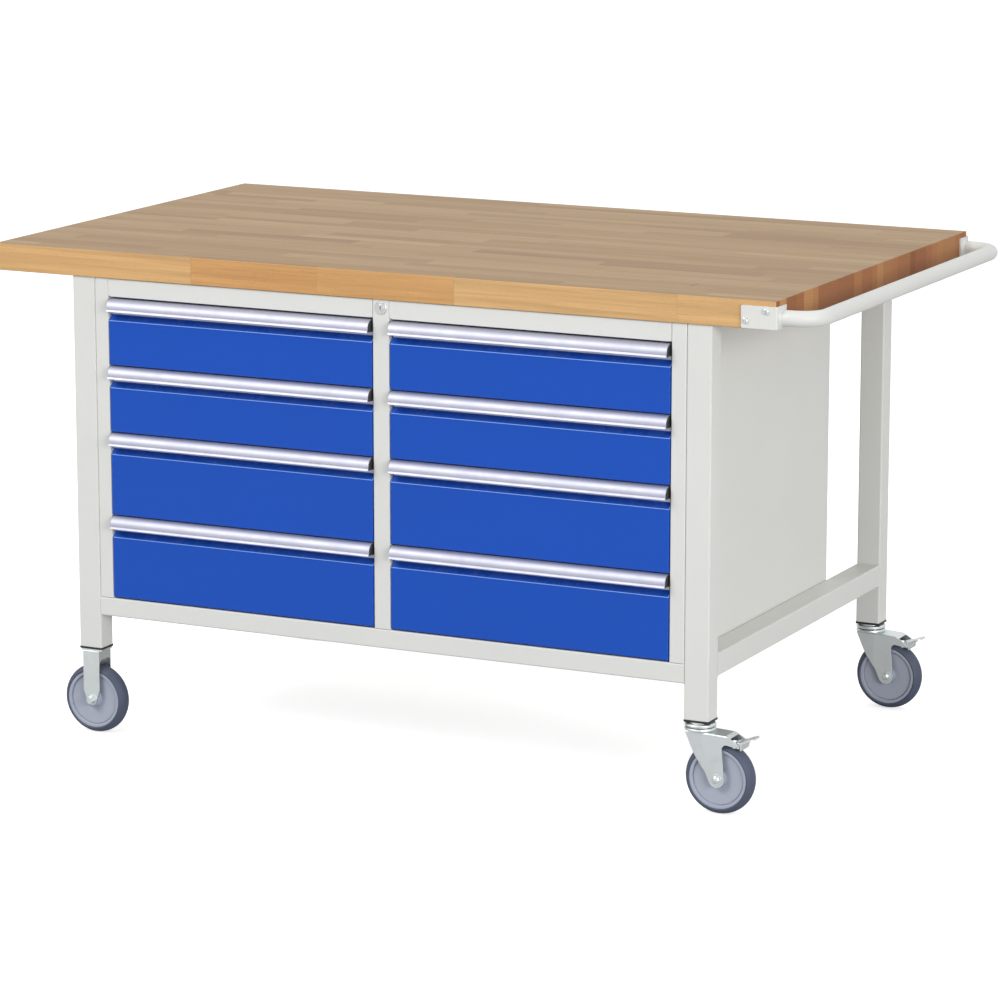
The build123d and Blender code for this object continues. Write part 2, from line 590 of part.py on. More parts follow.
def swivel_fork():
    """Bent sheet fork with a turned race on its crown, bored for its pins and the axle."""
    axle = (TRAIL, WHEEL_RADIUS)
    end = 14.0
    with BuildSketch(Plane.XZ) as cheek:
        with BuildLine():
            Polyline((axle[0] - 11.8, axle[1] - 7.5), (17, 75), (-1, 98), (-10, 114.5), (-20.6, 137),
                     (-21.5, CROWN_TOP), (26, CROWN_TOP), (54, CROWN_TOP - 1.5), (64, 134.4), (75, 127.5))
            Line((75, 127.5), (78.5, 123.5))
            Line((78.5, 123.5), (78.5, 120.2))
            Line((78.5, 120.2), (57, 123.8))
            ThreePointArc((57, 123.8), (50.2, 121.8), (47.6, 115))
            Line((47.6, 115), (axle[0] + end, axle[1]))
            ThreePointArc((axle[0] + end, axle[1]), (axle[0] + 4, axle[1] - 13.42),
                          (axle[0] - 11.8, axle[1] - 7.5))
        make_face()
    with BuildSketch(Plane.XZ) as inside:
        with BuildLine():
            drop = CROWN_TOP - FORK_SHEET
            Polyline((-60, drop), (26, drop), (53, drop - 1.5), (60, 133.8), (66, 140), (90, 140),
                     (90, 0), (-60, 0), (-60, drop))
        make_face()
    fork = extrude(cheek.sketch, 60, both=True) & fork_plan(FORK_OUTER)
    bends = [e for e in fork.edges()
             if e.center().Z > CROWN_TOP - 1 and abs(e.center().Y) > FORK_OUTER - 5 and e.length > 2]
    fork = fillet(bends, FORK_CROWN_RADIUS)
    fork -= extrude(inside.sketch, 60, both=True) & fork_plan(FORK_INNER)
    race = [(CROWN_TOP, 0), (CROWN_TOP, RACE_RADIUS - 3), (CROWN_TOP + 1.2, RACE_RADIUS - 0.8),
            (CROWN_TOP + 2.8, RACE_RADIUS), (RACE_TOP - 1.6, RACE_RADIUS - 0.5),
            (RACE_TOP - 0.5, RACE_RADIUS - 1.6), (RACE_TOP, RACE_RADIUS - 3), (RACE_TOP, 0)]
    fork += cone_turned(race, (0, 0, 0), (0, 0, 1))
    fork -= rod((0, 0, CROWN_TOP - 20), (0, 0, 1), KINGPIN_RADIUS + RUNNING_CLEARANCE, 40)
    fork -= rod((TRAIL, -40, WHEEL_RADIUS), (0, 1, 0), AXLE_RADIUS, 80)
    fork -= rod((PEDAL_PIN_OFFSET, -40, PEDAL_PIN_HEIGHT), (0, 1, 0), PEDAL_PIN_RADIUS, 80)
    return fork


def swivel_heads():
    """Upper races with their stems and kingpins, fixed to the two right legs."""
    heads = []
    low = RACE_TOP + RACE_GAP
    for y in (front_caster_y, rear_caster_y):
        profile = [(CROWN_TOP - 10, 0), (CROWN_TOP - 10, 8), (CROWN_TOP - 9, 9.5), (CROWN_TOP - 3.2, 9.5),
                   (CROWN_TOP - 3.2, KINGPIN_RADIUS), (low, KINGPIN_RADIUS), (low, RACE_RADIUS - 3),
                   (low + 0.6, RACE_RADIUS - 1.5), (low + 1.9, RACE_RADIUS - 0.3), (low + 3.7, RACE_RADIUS),
                   (low + 5.4, RACE_RADIUS - 0.8), (low + 6.6, RACE_RADIUS - 2.8), (low + 7, RACE_RADIUS - 6.5),
                   (plug_bottom, RACE_RADIUS - 6.5),
                   (plug_bottom, KINGPIN_RADIUS), (STEM_TOP, KINGPIN_RADIUS), (STEM_TOP, 0)]
        heads.append(cone_turned(profile, (right_caster_x, y, 0), (0, 0, 1)))
    return Compound(heads)


def dome_axle():
    """Axle bolt with a low domed head in front and a domed nut behind."""
    out = FORK_OUTER
    radius = 6.8
    half = [(0, AXLE_RADIUS), (out, AXLE_RADIUS), (out, radius), (out + 2.5, radius - 0.3),
            (out + 4.2, radius - 2.2), (out + 5, radius - 4.8), (out + 5.2, 0)]
    points = [(-along, r) for along, r in reversed(half)] + half[1:]
    return cone_turned(points, (0, 0, 0), (0, 1, 0))


def hex_axle():
    """Axle bolt with a hexagon head in front and a nut behind."""
    bolt = rod((0, -FORK_OUTER - 8, 0), (0, 1, 0), AXLE_RADIUS, 2 * FORK_OUTER + 16)
    for start, length in ((-FORK_OUTER - 7, 7), (FORK_OUTER, 7)):
        hexagon = Plane((0, start, 0), x_dir=(1, 0, 0), z_dir=(0, 1, 0)) * RegularPolygon(7.5, 6)
        nut = extrude(hexagon, length)
        cone = [(-0.01, 0), (-0.01, 6.6), (1.2, 7.6), (length - 1.2, 7.6), (length + 0.01, 6.6),
                (length + 0.01, 0)]
        nut &= cone_turned(cone, (0, start, 0), (0, 1, 0))
        bolt += nut
    return bolt


def pedal_point(out, height):
    """Place a point of the pedal's side outline, measured from its pin."""
    return (PEDAL_PIN_OFFSET + out, PEDAL_PIN_HEIGHT + height)


def brake_pedal():
    """Stamped brake lever on its pin: a barrel, a tongue for the foot and a shoe that faces the tyre."""
    with BuildSketch(Plane.XZ) as side:
        with BuildLine():
            Polyline(pedal_point(0, 4), pedal_point(9, 5.5), pedal_point(20, 10.2), pedal_point(31, 13.4),
                     pedal_point(32, 11), pedal_point(21, 7.6), pedal_point(12, 3.4), pedal_point(10.6, -8),
                     pedal_point(8.4, -8.6), pedal_point(6.6, 0), pedal_point(0, -4), pedal_point(0, 4))
        make_face()
    pedal = extrude(side.sketch, PEDAL_HALF_WIDTH, both=True)
    pedal += rod((PEDAL_PIN_OFFSET, -PEDAL_HALF_WIDTH, PEDAL_PIN_HEIGHT), (0, 1, 0), 4, 2 * PEDAL_HALF_WIDTH)
    tip = [e for e in pedal.edges().filter_by(Axis.Z, tolerance=30)
           if e.center().X > PEDAL_PIN_OFFSET + 31 and abs(abs(e.center().Y) - PEDAL_HALF_WIDTH) < 0.01]
    pedal = fillet(tip, 7)
    pedal -= block((PEDAL_PIN_OFFSET - 4.5, -6.5, PEDAL_PIN_HEIGHT - 4.5),
                   (PEDAL_PIN_OFFSET + 3, 6.5, PEDAL_PIN_HEIGHT + 4.5))
    pin_half = FORK_OUTER + 1.6
    pin = rod((PEDAL_PIN_OFFSET, -pin_half, PEDAL_PIN_HEIGHT), (0, 1, 0), PEDAL_PIN_RADIUS - 0.1,
              2 * pin_half)
    for start in (-pin_half, FORK_OUTER + 0.3):
        pin += rod((PEDAL_PIN_OFFSET, start, PEDAL_PIN_HEIGHT), (0, 1, 0), 4, 1.3)
    return pedal + pin


def fixed_fork():
    """Fixed fork: two tapered cheeks joined by a closed crown, with its top plate and stem."""
    half = FIXED_FORK_WIDTH / 2
    end = 10.0
    with BuildSketch(Plane.XZ) as cheek:
        with BuildLine():
            Polyline((-9.6, WHEEL_RADIUS - 2.8), (-half, 80), (-half, FIXED_FORK_TOP),
                     (half, FIXED_FORK_TOP), (half, 80),
                     (9.6, WHEEL_RADIUS - 2.8))
            ThreePointArc((9.6, WHEEL_RADIUS - 2.8), (0, WHEEL_RADIUS - end), (-9.6, WHEEL_RADIUS - 2.8))
        make_face()
    fork = extrude(cheek.sketch, FORK_OUTER, both=True)
    fork = fillet([e for e in fork.edges() if abs(abs(e.center().Y) - FORK_OUTER) < 0.01], 1.0)
    fork -= block((-half + FORK_SHEET, -FORK_INNER, 0),
                  (half - FORK_SHEET, FORK_INNER, FIXED_FORK_TOP - FORK_SHEET))
    arch = Plane.YZ * RectangleRounded(2 * FORK_INNER, 2 * FIXED_FORK_ARCH, 9)
    fork -= extrude(arch, half + 1, both=True)
    plate = block((-21.5, -20, FIXED_FORK_TOP), (21.5, 20, plug_bottom))
    fork += fillet(plate.edges().filter_by(Axis.Z), 4)
    fork += rod((0, 0, plug_bottom), (0, 0, 1), KINGPIN_RADIUS, STEM_TOP - plug_bottom)
    fork -= rod((0, -40, WHEEL_RADIUS), (0, 1, 0), AXLE_RADIUS, 80)
    return fork


def all_nodes():
    """Return every sub-part by its node name."""
    nodes = {
        "worktop": worktop(),
        "front_legs": leg_pair(face),
        "rear_legs": leg_pair(frame_rear - LEG_DEPTH),
        "front_rail": front_rail(),
        "side_rails": side_rails(),
        "rear_rail": rear_rail(),
        "leg_plugs": leg_plugs(),
        "cabinet_side_left": cabinet_side(cabinet_left, left_opening),
        "cabinet_side_right": cabinet_side(cabinet_right, right_opening + opening_width),
        "cabinet_divider": cabinet_divider(),
        "cabinet_back": cabinet_back(),
        "cabinet_floor": cabinet_floor(),
        "cabinet_top_rails": cabinet_top_rails(),
        "cabinet_runners": cabinet_runners(),
        "lock_housing": lock_housing(),
        "lock_cylinder": lock_cylinder(),
        "lock_bar": lock_bar(),
        "push_handle": push_handle(),
        "handle_screws": screws(),
        "swivel_caster_heads": swivel_heads(),
    }
    made = {}
    for pitch in sorted(set(DRAWER_PITCHES)):
        made[pitch] = {"front": drawer_front(pitch), "tray": drawer_tray(pitch), "grip": drawer_grip(pitch)}
    for column, number, left, bottom, pitch in drawer_spaces():
        for piece, shape in made[pitch].items():
            nodes[column + "_drawer_" + str(number) + "_" + piece] = Pos(left, face, bottom) * shape
    rows = (("front", front_caster_y), ("rear", rear_caster_y))
    fork = fixed_fork()
    axle = hex_axle()
    nodes["fixed_caster_forks"] = Compound([Pos(left_caster_x, y, 0) * fork for row, y in rows])
    nodes["fixed_caster_axles"] = Compound([Pos(left_caster_x, y, WHEEL_RADIUS) * axle for row, y in rows])
    caster = {"swivel_fork": swivel_fork(), "brake_pedal": brake_pedal()}
    wheel = {"wheel_hub": wheel_hub(), "wheel_tyre": wheel_tyre()}
    for row, y in rows:
        nodes["swivel_axle_" + row] = Pos(right_caster_x + TRAIL, y, WHEEL_RADIUS) * dome_axle()
        for name, shape in caster.items():
            nodes[name + "_" + row] = Pos(right_caster_x, y, 0) * shape
        for kind, x in (("fixed", left_caster_x), ("swivel", right_caster_x + TRAIL)):
            for name, shape in wheel.items():
                nodes[kind + "_" + name + "_" + row] = Pos(x, y, WHEEL_RADIUS) * shape
    return nodes


def main():
    os.makedirs("parts", exist_ok=True)
    nodes = all_nodes()
    for name, shape in nodes.items():
        export_step(shape, "parts/" + name + ".step")
    print(len(nodes), "nodes written")


main()
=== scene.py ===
# %% [markdown]
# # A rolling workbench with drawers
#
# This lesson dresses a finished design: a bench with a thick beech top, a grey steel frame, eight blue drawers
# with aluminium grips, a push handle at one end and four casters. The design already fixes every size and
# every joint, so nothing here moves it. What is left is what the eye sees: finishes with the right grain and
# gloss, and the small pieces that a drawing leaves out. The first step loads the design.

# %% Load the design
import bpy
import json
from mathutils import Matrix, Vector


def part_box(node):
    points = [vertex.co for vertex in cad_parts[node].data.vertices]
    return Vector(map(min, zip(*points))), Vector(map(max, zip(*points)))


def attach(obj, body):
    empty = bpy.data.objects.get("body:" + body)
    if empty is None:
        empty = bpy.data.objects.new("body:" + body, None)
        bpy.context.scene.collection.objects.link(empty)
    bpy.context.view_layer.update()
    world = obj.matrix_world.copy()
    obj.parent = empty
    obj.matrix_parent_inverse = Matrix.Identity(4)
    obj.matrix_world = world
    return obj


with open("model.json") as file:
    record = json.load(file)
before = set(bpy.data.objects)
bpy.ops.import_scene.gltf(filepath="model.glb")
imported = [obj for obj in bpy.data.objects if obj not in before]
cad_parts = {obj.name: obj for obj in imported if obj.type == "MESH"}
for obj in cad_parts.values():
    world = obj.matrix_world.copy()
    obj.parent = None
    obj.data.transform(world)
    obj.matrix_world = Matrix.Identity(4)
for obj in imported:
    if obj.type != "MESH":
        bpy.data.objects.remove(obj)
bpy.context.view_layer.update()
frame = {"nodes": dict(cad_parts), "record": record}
import json
import math
import bpy
from mathutils import Vector

# %% [markdown]
# ## The camera
#
# A long lens from the right-hand front corner, a little above eye height, shows the drawer
# fronts, the free end and the top together. The place is given in metres and the direction as a
# turn to the left and a tilt down, as one would set a tripod. The lens is long, so nothing looks
# stretched at the corners.

# %% Set up the camera
CAMERA_PLACE = (3.308, -6.769, 1.973)
CAMERA_TURN = 26.10
CAMERA_TILT = 11.78
CAMERA_LENS = 152.9
SENSOR_WIDTH = 36.0


def set_camera():
    bpy.ops.object.camera_add(location=CAMERA_PLACE)
    camera = bpy.context.object
    camera.rotation_euler = (math.radians(90 - CAMERA_TILT), 0, math.radians(CAMERA_TURN))
    camera.data.lens = CAMERA_LENS
    camera.data.sensor_width = SENSOR_WIDTH
    bpy.context.scene.camera = camera
    print("camera", round(Vector(CAMERA_PLACE).length, 2), "m from the bench's foot")


set_camera()

# %% [markdown]
# ## Tools for building finishes
#
# A finish is a small network of nodes. Short helpers keep each network readable: one turns a
# colour card's numbers into the linear light that Blender mixes, one places a node with its
# settings and wires in a single call, and the others are that call for sums, vectors, greys,
# ramps, mixes and noise. Effects that several finishes share become node groups, made once and
# used with other values.

# %% Helpers for node networks
def card(red, green, blue):
    """A colour card's numbers, 0 to 255, as linear light."""
    shares = [value / 255 for value in (red, green, blue)]
    return (*[s / 12.92 if s <= 0.04045 else ((s + 0.055) / 1.055) ** 2.4 for s in shares], 1.0)


def put(tree, kind, wires=None, **settings):
    """Place a node, set its properties, then set or wire its inputs."""
    node = tree.nodes.new("ShaderNode" + kind)
    for name, value in settings.items():
        setattr(node, name, value)
    for name, value in (wires or {}).items():
        if isinstance(value, bpy.types.NodeSocket):
            tree.links.new(value, node.inputs[name])
        else:
            node.inputs[name].default_value = value
    return node


def sums(tree, operation, *values, clamp=False):
    """One step of arithmetic; returns its output."""
    return put(tree, "Math", dict(enumerate(values)), operation=operation, use_clamp=clamp).outputs[0]


def vectors(tree, operation, first, second):
    """One step of arithmetic on two vectors; returns its output."""
    return put(tree, "VectorMath", {0: first, 1: second}, operation=operation).outputs[0]


def grey(tree, share):
    """An even grey of a given lightness."""
    return put(tree, "CombineColor", {0: share, 1: share, 2: share}).outputs[0]


def way_faced(tree):
    """The way that the surface faces, as its parts along X, Y and Z."""
    return put(tree, "SeparateXYZ", {0: put(tree, "TexCoord").outputs["Normal"]}).outputs


def ramp(tree, value, stops):
    """A colour ramp through (place, colour) stops."""
    node = put(tree, "ValToRGB", {0: value})
    bar = node.color_ramp
    bar.interpolation = "LINEAR"
    while len(bar.elements) < len(stops):
        bar.elements.new(0.5)
    for element, (place, colour) in zip(bar.elements, stops):
        element.position = place
        element.color = colour
    return node.outputs["Color"]


def blend(tree, share, first, second, how="MIX"):
    """Mix two colours by a share."""
    wires = {"Factor": share, 6: first, 7: second}
    return put(tree, "Mix", wires, data_type="RGBA", blend_type=how).outputs[2]


def noise(tree, vector, scale, detail=2.0, roughness=0.5, distortion=0.0):
    """Noise from 0 to 1 over a vector."""
    wires = {"Vector": vector, "Scale": scale, "Detail": detail, "Roughness": roughness,
             "Distortion": distortion}
    return put(tree, "TexNoise", wires).outputs[0]


def drift(tree, place, scale):
    """Slow noise from 0 to 1 along one line."""
    wires = {"W": place, "Scale": scale, "Detail": 0.0}
    return put(tree, "TexNoise", wires, noise_dimensions="1D").outputs[0]


def stretched(tree, vector, scale):
    """The vector with each axis multiplied, to draw a pattern out along one of them."""
    return put(tree, "Mapping", {"Vector": vector, "Scale": scale}).outputs[0]


def new_group(name, takes, gives):
    """A node group with its sockets; returns the tree, what comes in and the output node."""
    tree = bpy.data.node_groups.new(name, "ShaderNodeTree")
    for label, (kind, value) in takes.items():
        socket = tree.interface.new_socket(label, in_out="INPUT", socket_type="NodeSocket" + kind)
        if value is not None:
            socket.default_value = value
    for label, kind in gives.items():
        tree.interface.new_socket(label, in_out="OUTPUT", socket_type="NodeSocket" + kind)
    return tree, tree.nodes.new("NodeGroupInput").outputs, tree.nodes.new("NodeGroupOutput").inputs


def use(tree, group, wires):
    """Place a node group in a material."""
    return put(tree, "Group", wires, node_tree=group).outputs


print("helpers ready")

# %% [markdown]
# ## Edges that catch the light
#
# No real edge is perfectly sharp: folded sheet has a radius and paint thins where hands rub it.
# The Bevel node rounds the shading of every edge without adding geometry, and comparing its normal with the
# true one also tells where the edges are. One group gives both: the rounded normal, and a mask of the edges
# broken up by noise. Other finishes use the mask for wear; the powder coats use it for wear and for a painted
# highlight along the edges.

# %% Group: edges
def make_edge_group():
    takes = {"Vector": ("Vector", None), "Radius": ("Float", 0.001), "Edge Amount": ("Float", 1.0)}
    tree, given, out = new_group("Rounded Edges", takes, {"Edge": "Float", "Normal": "Vector"})
    rounded = put(tree, "Bevel", {"Radius": given["Radius"]}, samples=4).outputs[0]
    true_normal = put(tree, "NewGeometry").outputs["Normal"]
    aligned = put(tree, "VectorMath", {0: rounded, 1: true_normal}, operation="DOT_PRODUCT").outputs["Value"]
    turned = sums(tree, "MULTIPLY", sums(tree, "SUBTRACT", 1.0, aligned), 6.0, clamp=True)
    patches = sums(tree, "MULTIPLY_ADD", noise(tree, given["Vector"], 60.0, 3.0), 2.0, -0.45, clamp=True)
    rubbed = sums(tree, "MULTIPLY", turned, patches)
    tree.links.new(sums(tree, "MULTIPLY", rubbed, given["Edge Amount"]), out["Edge"])
    tree.links.new(rounded, out["Normal"])
    return tree


edges = make_edge_group()
print("group", edges.name)

# %% [markdown]
# ## Dust and handling
#
# Even a clean bench isn't perfectly even: dust settles on what faces up, and hands leave a slow
# variation of gloss. This group gives a mask for the dust, from the upward part of the normal,
# and a soft cloud for the gloss.

# %% Group: dust and handling
def make_dust_group():
    takes = {"Vector": ("Vector", None), "Amount": ("Float", 0.3)}
    tree, given, out = new_group("Dust and Handling", takes, {"Dust": "Float", "Cloud": "Float"})
    flat = sums(tree, "MULTIPLY_ADD", way_faced(tree)["Z"], 2.0, -1.0, clamp=True)
    specks = sums(tree, "MULTIPLY_ADD", noise(tree, given["Vector"], 35.0, 5.0, 0.7), 2.4, -0.8, clamp=True)
    settled = sums(tree, "MULTIPLY", flat, specks)
    tree.links.new(sums(tree, "MULTIPLY", settled, given["Amount"]), out["Dust"])
    tree.links.new(noise(tree, given["Vector"], 5.0, 3.0, 0.55), out["Cloud"])
    return tree


dust = make_dust_group()
print("group", dust.name)

# %% [markdown]
# ## Drawn and brushed metal
#
# Extruded aluminium and plated sheet carry fine lines along the way they were drawn. A noise
# stretched along one axis makes them. The stretch is an input, so the same group gives lines
# along a grip and cloudy plating on a fork.

# %% Group: drawn lines
def make_line_group():
    takes = {"Vector": ("Vector", None), "Stretch": ("Vector", (1.0, 1.0, 1.0)), "Scale": ("Float", 600.0)}
    tree, given, out = new_group("Drawn Lines", takes, {"Lines": "Float", "Blotches": "Float"})
    drawn = vectors(tree, "MULTIPLY", given["Vector"], given["Stretch"])
    tree.links.new(noise(tree, drawn, given["Scale"], 3.0, 0.6), out["Lines"])
    tree.links.new(noise(tree, given["Vector"], 28.0, 4.0, 0.6, 0.6), out["Blotches"])
    return tree


lines = make_line_group()
print("group", lines.name)

# %% [markdown]
# ## Powder coat
#
# The frame, the cabinet and the drawer fronts are powder coated: an even colour with a fine orange-peel
# texture and a satin gloss. The edges take a lighter colour, partly as wear and partly as a painted highlight,
# and on the drawer fronts a painted highlight lightens the folds that turn upwards. Colour, gloss and the
# strength of the painted fold highlight are all that differs, so one function makes all the painted finishes.

# %% Powder-coat finishes
def new_material(name):
    """An empty material with its shader; returns material, tree, shader and the object coordinates."""
    material = bpy.data.materials.new(name)
    material.use_nodes = True
    tree = material.node_tree
    shader = tree.nodes["Principled BSDF"]
    return material, tree, shader, put(tree, "TexCoord").outputs["Object"]


def bump(tree, height, normal, strength, distance):
    """A bump on top of the rounded normal."""
    wires = {"Height": height, "Normal": normal, "Strength": strength, "Distance": distance}
    return put(tree, "Bump", wires).outputs[0]


# Painted highlight: folds that turn a little upwards are lightened as if they caught a lamp.
HIGHLIGHT_UPWARD = 0.38
HIGHLIGHT_PEAK = 1.25
HIGHLIGHT_FALL = -3.3


def painted_fold_highlight(tree):
    """Painted highlight: a share of 1 where a fold turns a little upwards, 0 on the flats beside it."""
    away = sums(tree, "ABSOLUTE", sums(tree, "SUBTRACT", way_faced(tree)["Z"], HIGHLIGHT_UPWARD))
    return sums(tree, "MULTIPLY_ADD", away, HIGHLIGHT_FALL, HIGHLIGHT_PEAK, clamp=True)


def powder_coat(name, colour, wear_and_highlight_colour, roughness, shine=0.5, radius=0.0012, fold_highlight_strength=0.0):
    """A painted finish; fold_highlight_strength is how strongly a painted highlight lightens the folds that
    turn upwards.
    """
    material, tree, shader, place = new_material(name)
    edge = use(tree, edges, {"Vector": place, "Radius": radius, "Edge Amount": 0.55})
    hands = use(tree, dust, {"Vector": place, "Amount": 0.10})
    peel = noise(tree, place, 520.0, 2.0, 0.45)
    shade = sums(tree, "MULTIPLY_ADD", hands["Cloud"], 0.07, 0.965)
    even = blend(tree, 1.0, colour, grey(tree, shade), "MULTIPLY")
    # Edges take the lighter colour partly as wear and partly as a painted highlight; upturned folds take it as
    # a painted highlight.
    wear_and_highlight_share = sums(tree, "MAXIMUM", edge["Edge"], sums(tree, "MULTIPLY", painted_fold_highlight(tree), fold_highlight_strength))
    worn = blend(tree, wear_and_highlight_share, even, wear_and_highlight_colour)
    tree.links.new(blend(tree, hands["Dust"], worn, card(205, 202, 194)), shader.inputs["Base Color"])
    gloss = sums(tree, "MULTIPLY_ADD", hands["Cloud"], 0.12, roughness - 0.06)
    tree.links.new(sums(tree, "ADD", gloss, hands["Dust"]), shader.inputs["Roughness"])
    tree.links.new(bump(tree, peel, edge["Normal"], 0.16, 0.00025), shader.inputs["Normal"])
    shader.inputs["Specular IOR Level"].default_value = shine
    return material


# The near-white grey lightens the frame's edges, partly as wear and partly as a painted highlight.
FRAME_GREY = powder_coat("light_grey_powder_coat", card(226, 227, 223), card(240, 240, 237), 0.42)
# On the drawer fronts the light blue is a painted highlight on the upturned folds, and on the edges both wear
# and painted highlight.
DRAWER_BLUE = powder_coat("blue_powder_coat", card(18, 80, 188), card(140, 180, 250), 0.24,
                          shine=0.26, radius=0.0014, fold_highlight_strength=1.0)
TRAY_GREY = powder_coat("tray_grey_powder_coat", card(186, 190, 192), card(206, 209, 210), 0.45)
print("powder coats:", FRAME_GREY.name, DRAWER_BLUE.name, TRAY_GREY.name)

# %% [markdown]
# ## Beech staves
#
# The top is glued from beech staves that run along its length. A wood texture picture would repeat and would
# not turn the corner, so the wood is a solid pattern worked out from the place in the board: which row of
# staves, which stave in the row, and then the grain inside it. The end of the top shows the same rows as
# blocks of end grain with growth rings, darker and redder, partly as end grain is and partly as painted shade.
# The long front edge shows one row of staves from the side, painted more golden as if lit.

# %% Group: beech
STAVE_WIDTH = 0.037
STAVE_LENGTH = 0.36
SIDE_GAP = 0.00022
END_GAP = 0.0003
top_low, top_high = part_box("worktop")


def make_stave_group():
    """Which stave a point is in: its tone, how near a joint it is, and a number of its own."""
    takes = {"Vector": ("Vector", None), "Width": ("Float", STAVE_WIDTH), "Length": ("Float", STAVE_LENGTH)}
    tree, given, out = new_group("Stave Layout", takes, {"Tone": "Float", "Joint": "Float", "Shift": "Vector"})
    axes = put(tree, "SeparateXYZ", {0: given["Vector"]}).outputs
    uneven = sums(tree, "MULTIPLY", drift(tree, axes["Y"], 14.0), 1.6)
    across = sums(tree, "ADD", sums(tree, "DIVIDE", axes["Y"], given["Width"]), uneven)
    row = sums(tree, "FLOOR", across)
    row_chance = put(tree, "TexWhiteNoise", {"W": row}, noise_dimensions="1D").outputs["Value"]
    slow = sums(tree, "MULTIPLY", drift(tree, sums(tree, "MULTIPLY_ADD", row, 7.3, axes["X"]), 1.7), 1.1)
    start = sums(tree, "ADD", sums(tree, "MULTIPLY", row_chance, 7.0), slow)
    along = sums(tree, "ADD", sums(tree, "DIVIDE", axes["X"], given["Length"]), start)
    stave = sums(tree, "FLOOR", along)
    cell = put(tree, "CombineXYZ", {0: stave, 1: row}).outputs[0]
    chance = put(tree, "TexWhiteNoise", {"Vector": cell}, noise_dimensions="2D").outputs
    side = sums(tree, "PINGPONG", across, 0.5)
    end = sums(tree, "PINGPONG", along, 0.5)
    side_gap = sums(tree, "LESS_THAN", sums(tree, "MULTIPLY", side, given["Width"]), SIDE_GAP)
    end_gap = sums(tree, "LESS_THAN", sums(tree, "MULTIPLY", end, given["Length"]), END_GAP)
    tree.links.new(chance["Value"], out["Tone"])
    tree.links.new(sums(tree, "MAXIMUM", side_gap, end_gap), out["Joint"])
    tree.links.new(vectors(tree, "MULTIPLY", chance["Color"], (9.0, 9.0, 9.0)), out["Shift"])
    return tree


def make_grain_group():
    """Long fibres, short ray flecks and slow colour waves, shifted so that no two staves match."""
    takes = {"Vector": ("Vector", None), "Shift": ("Vector", None)}
    tree, given, out = new_group("Beech Grain", takes, {"Fibre": "Float", "Fleck": "Float", "Wave": "Float"})
    moved = vectors(tree, "ADD", given["Vector"], given["Shift"])
    fibre = noise(tree, stretched(tree, moved, (7.0, 300.0, 300.0)), 1.0, 4.0, 0.7, 0.4)
    fleck = noise(tree, stretched(tree, moved, (150.0, 1100.0, 700.0)), 1.0, 1.0, 0.5)
    wave = noise(tree, stretched(tree, moved, (2.4, 90.0, 90.0)), 1.0, 3.0, 0.55, 0.8)
    tree.links.new(fibre, out["Fibre"])
    tree.links.new(sums(tree, "MULTIPLY_ADD", fleck, 5.0, -2.9, clamp=True), out["Fleck"])
    tree.links.new(wave, out["Wave"])
    return tree


staves = make_stave_group()
grain = make_grain_group()
print("staves: about", round((top_high.y - top_low.y) / STAVE_WIDTH), "rows")

# %% [markdown]
# The finish mixes three looks of the same boards by where the surface faces, and these carry painted light:
# the top is painted greyer as by a sheen, the long edge more golden as if lit, and the end darker and redder
# as end grain and painted shade. The normal in object coordinates says whether a point is on the top, on a
# long edge or on an end. The film of oil is so slight that the grain breaks the gloss.

